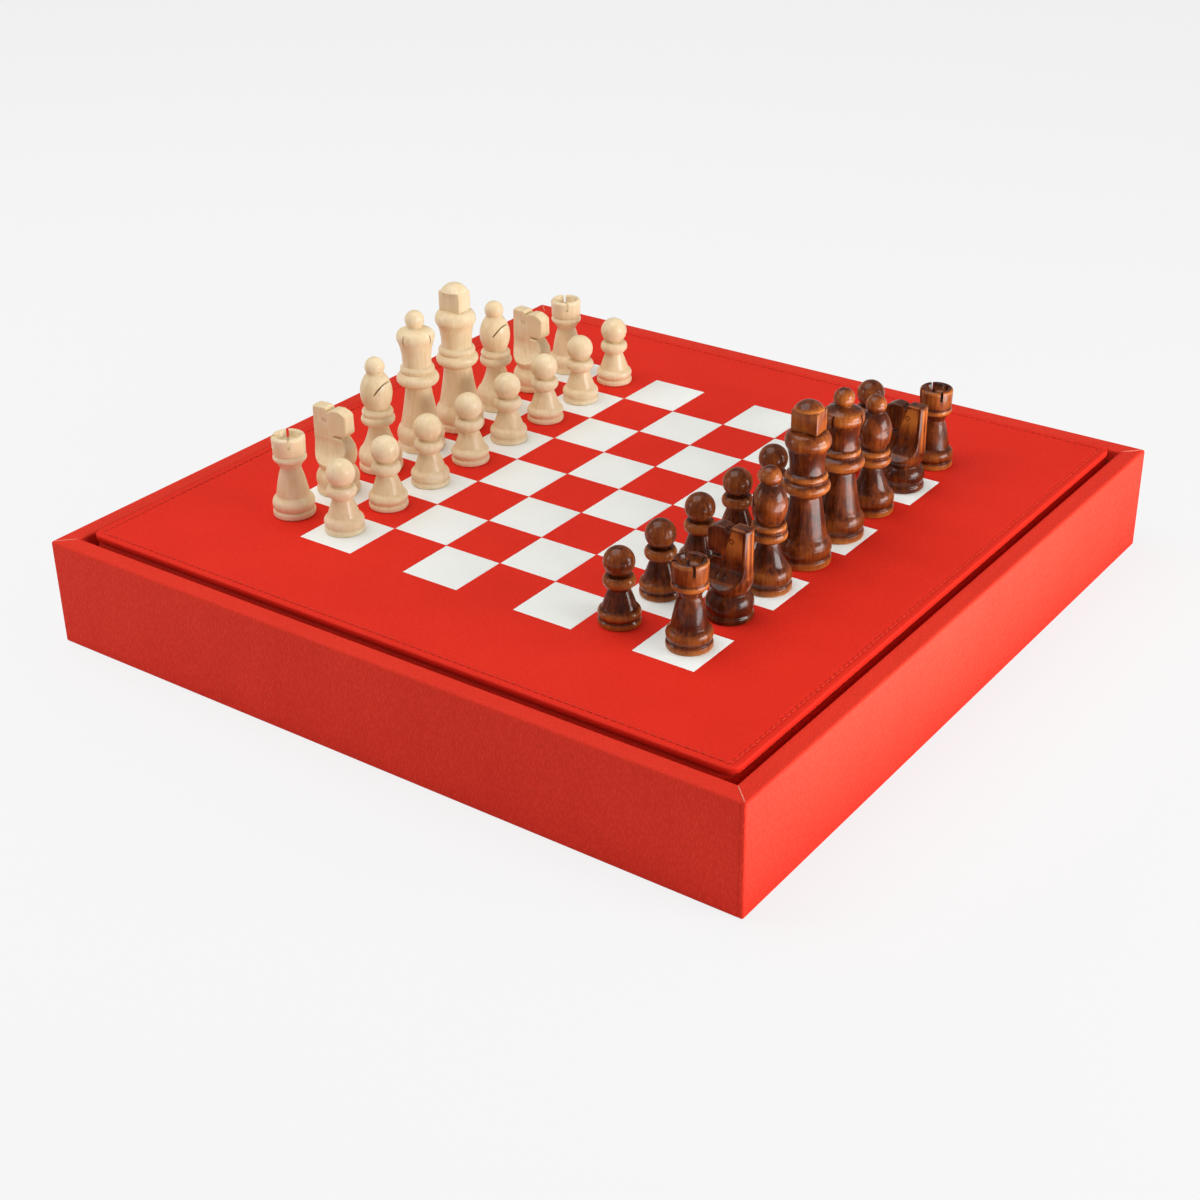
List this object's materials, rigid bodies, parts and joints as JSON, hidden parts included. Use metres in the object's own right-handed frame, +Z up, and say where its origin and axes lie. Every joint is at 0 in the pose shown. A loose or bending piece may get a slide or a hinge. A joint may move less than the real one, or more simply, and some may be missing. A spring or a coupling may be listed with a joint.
{
  "type": "chess box",
  "caption": "Square leather covered storage box whose lift-off lid is a stitched leather chess board, set out with turned wooden chessmen.",
  "frame": {"origin": "centre of the box's underside, on the table", "axes": "+Z up; -Y is the front wall of the files, the pale army stands at -X and the dark army at +X"},
  "size_m": [0.403, 0.403, 0.1412],
  "materials": {
    "red_leather": "pebbled, satin",
    "white_leather": "fine grain, satin",
    "lining_suede": "napped suede",
    "fibreboard": "bare medium density board",
    "groove_paper": "matt",
    "pale_wood": "pale boxwood, satin lacquer",
    "stained_wood": "red brown stain, gloss lacquer"
  },
  "bodies": {
    "box": {"base_board": "fibreboard", "base_cover": "red_leather", "divider": "fibreboard", "divider_suede": "lining_suede", "floor_lining": "lining_suede", "liner_back": "fibreboard", "liner_front": "fibreboard", "liner_left": "fibreboard", "liner_right": "fibreboard", "liner_suede_back": "lining_suede", "liner_suede_front": "lining_suede", "liner_suede_left": "lining_suede", "liner_suede_right": "lining_suede", "wall_back": "fibreboard", "wall_cover_back": "red_leather", "wall_cover_front": "red_leather", "wall_cover_left": "red_leather", "wall_cover_right": "red_leather", "wall_front": "fibreboard", "wall_left": "fibreboard", "wall_right": "fibreboard"},
    "lid": {"lid_band": "red_leather", "lid_board": "fibreboard", "lid_core": "fibreboard", "lid_leather": "red_leather", "lid_lining": "lining_suede", "lid_spacer": "groove_paper", "lid_squares": "white_leather"},
    "dark_bishop_3": {"dark_bishop_3": "stained_wood"},
    "dark_bishop_6": {"dark_bishop_6": "stained_wood"},
    "dark_king": {"dark_king": "stained_wood"},
    "dark_knight_2": {"dark_knight_2": "stained_wood"},
    "dark_knight_7": {"dark_knight_7": "stained_wood"},
    "dark_pawn_1": {"dark_pawn_1": "stained_wood"},
    "dark_pawn_2": {"dark_pawn_2": "stained_wood"},
    "dark_pawn_3": {"dark_pawn_3": "stained_wood"},
    "dark_pawn_4": {"dark_pawn_4": "stained_wood"},
    "dark_pawn_5": {"dark_pawn_5": "stained_wood"},
    "dark_pawn_6": {"dark_pawn_6": "stained_wood"},
    "dark_pawn_7": {"dark_pawn_7": "stained_wood"},
    "dark_pawn_8": {"dark_pawn_8": "stained_wood"},
    "dark_queen": {"dark_queen": "stained_wood"},
    "dark_rook_1": {"dark_rook_1": "stained_wood"},
    "dark_rook_8": {"dark_rook_8": "stained_wood"},
    "light_bishop_3": {"light_bishop_3": "pale_wood"},
    "light_bishop_6": {"light_bishop_6": "pale_wood"},
    "light_king": {"light_king": "pale_wood"},
    "light_knight_2": {"light_knight_2": "pale_wood"},
    "light_knight_7": {"light_knight_7": "pale_wood"},
    "light_pawn_1": {"light_pawn_1": "pale_wood"},
    "light_pawn_2": {"light_pawn_2": "pale_wood"},
    "light_pawn_3": {"light_pawn_3": "pale_wood"},
    "light_pawn_4": {"light_pawn_4": "pale_wood"},
    "light_pawn_5": {"light_pawn_5": "pale_wood"},
    "light_pawn_6": {"light_pawn_6": "pale_wood"},
    "light_pawn_7": {"light_pawn_7": "pale_wood"},
    "light_pawn_8": {"light_pawn_8": "pale_wood"},
    "light_queen": {"light_queen": "pale_wood"},
    "light_rook_1": {"light_rook_1": "pale_wood"},
    "light_rook_8": {"light_rook_8": "pale_wood"}
  },
  "joints": [
    {"name": "lid_lift", "type": "slide", "parent": "box", "child": "lid", "axis": [0, 0, 1], "range_m": [0, 0.12]},
    {"name": "dark_bishop_3_lift", "type": "slide", "parent": "lid", "child": "dark_bishop_3", "axis": [0, 0, 1], "range_m": [0, 0.1]},
    {"name": "dark_bishop_6_lift", "type": "slide", "parent": "lid", "child": "dark_bishop_6", "axis": [0, 0, 1], "range_m": [0, 0.1]},
    {"name": "dark_king_lift", "type": "slide", "parent": "lid", "child": "dark_king", "axis": [0, 0, 1], "range_m": [0, 0.1]},
    {"name": "dark_knight_2_lift", "type": "slide", "parent": "lid", "child": "dark_knight_2", "axis": [0, 0, 1], "range_m": [0, 0.1]},
    {"name": "dark_knight_7_lift", "type": "slide", "parent": "lid", "child": "dark_knight_7", "axis": [0, 0, 1], "range_m": [0, 0.1]},
    {"name": "dark_pawn_1_lift", "type": "slide", "parent": "lid", "child": "dark_pawn_1", "axis": [0, 0, 1], "range_m": [0, 0.1]},
    {"name": "dark_pawn_2_lift", "type": "slide", "parent": "lid", "child": "dark_pawn_2", "axis": [0, 0, 1], "range_m": [0, 0.1]},
    {"name": "dark_pawn_3_lift", "type": "slide", "parent": "lid", "child": "dark_pawn_3", "axis": [0, 0, 1], "range_m": [0, 0.1]},
    {"name": "dark_pawn_4_lift", "type": "slide", "parent": "lid", "child": "dark_pawn_4", "axis": [0, 0, 1], "range_m": [0, 0.1]},
    {"name": "dark_pawn_5_lift", "type": "slide", "parent": "lid", "child": "dark_pawn_5", "axis": [0, 0, 1], "range_m": [0, 0.1]},
    {"name": "dark_pawn_6_lift", "type": "slide", "parent": "lid", "child": "dark_pawn_6", "axis": [0, 0, 1], "range_m": [0, 0.1]},
    {"name": "dark_pawn_7_lift", "type": "slide", "parent": "lid", "child": "dark_pawn_7", "axis": [0, 0, 1], "range_m": [0, 0.1]},
    {"name": "dark_pawn_8_lift", "type": "slide", "parent": "lid", "child": "dark_pawn_8", "axis": [0, 0, 1], "range_m": [0, 0.1]},
    {"name": "dark_queen_lift", "type": "slide", "parent": "lid", "child": "dark_queen", "axis": [0, 0, 1], "range_m": [0, 0.1]},
    {"name": "dark_rook_1_lift", "type": "slide", "parent": "lid", "child": "dark_rook_1", "axis": [0, 0, 1], "range_m": [0, 0.1]},
    {"name": "dark_rook_8_lift", "type": "slide", "parent": "lid", "child": "dark_rook_8", "axis": [0, 0, 1], "range_m": [0, 0.1]},
    {"name": "light_bishop_3_lift", "type": "slide", "parent": "lid", "child": "light_bishop_3", "axis": [0, 0, 1], "range_m": [0, 0.1]},
    {"name": "light_bishop_6_lift", "type": "slide", "parent": "lid", "child": "light_bishop_6", "axis": [0, 0, 1], "range_m": [0, 0.1]},
    {"name": "light_king_lift", "type": "slide", "parent": "lid", "child": "light_king", "axis": [0, 0, 1], "range_m": [0, 0.1]},
    {"name": "light_knight_2_lift", "type": "slide", "parent": "lid", "child": "light_knight_2", "axis": [0, 0, 1], "range_m": [0, 0.1]},
    {"name": "light_knight_7_lift", "type": "slide", "parent": "lid", "child": "light_knight_7", "axis": [0, 0, 1], "range_m": [0, 0.1]},
    {"name": "light_pawn_1_lift", "type": "slide", "parent": "lid", "child": "light_pawn_1", "axis": [0, 0, 1], "range_m": [0, 0.1]},
    {"name": "light_pawn_2_lift", "type": "slide", "parent": "lid", "child": "light_pawn_2", "axis": [0, 0, 1], "range_m": [0, 0.1]},
    {"name": "light_pawn_3_lift", "type": "slide", "parent": "lid", "child": "light_pawn_3", "axis": [0, 0, 1], "range_m": [0, 0.1]},
    {"name": "light_pawn_4_lift", "type": "slide", "parent": "lid", "child": "light_pawn_4", "axis": [0, 0, 1], "range_m": [0, 0.1]},
    {"name": "light_pawn_5_lift", "type": "slide", "parent": "lid", "child": "light_pawn_5", "axis": [0, 0, 1], "range_m": [0, 0.1]},
    {"name": "light_pawn_6_lift", "type": "slide", "parent": "lid", "child": "light_pawn_6", "axis": [0, 0, 1], "range_m": [0, 0.1]},
    {"name": "light_pawn_7_lift", "type": "slide", "parent": "lid", "child": "light_pawn_7", "axis": [0, 0, 1], "range_m": [0, 0.1]},
    {"name": "light_pawn_8_lift", "type": "slide", "parent": "lid", "child": "light_pawn_8", "axis": [0, 0, 1], "range_m": [0, 0.1]},
    {"name": "light_queen_lift", "type": "slide", "parent": "lid", "child": "light_queen", "axis": [0, 0, 1], "range_m": [0, 0.1]},
    {"name": "light_rook_1_lift", "type": "slide", "parent": "lid", "child": "light_rook_1", "axis": [0, 0, 1], "range_m": [0, 0.1]},
    {"name": "light_rook_8_lift", "type": "slide", "parent": "lid", "child": "light_rook_8", "axis": [0, 0, 1], "range_m": [0, 0.1]}
  ]
}
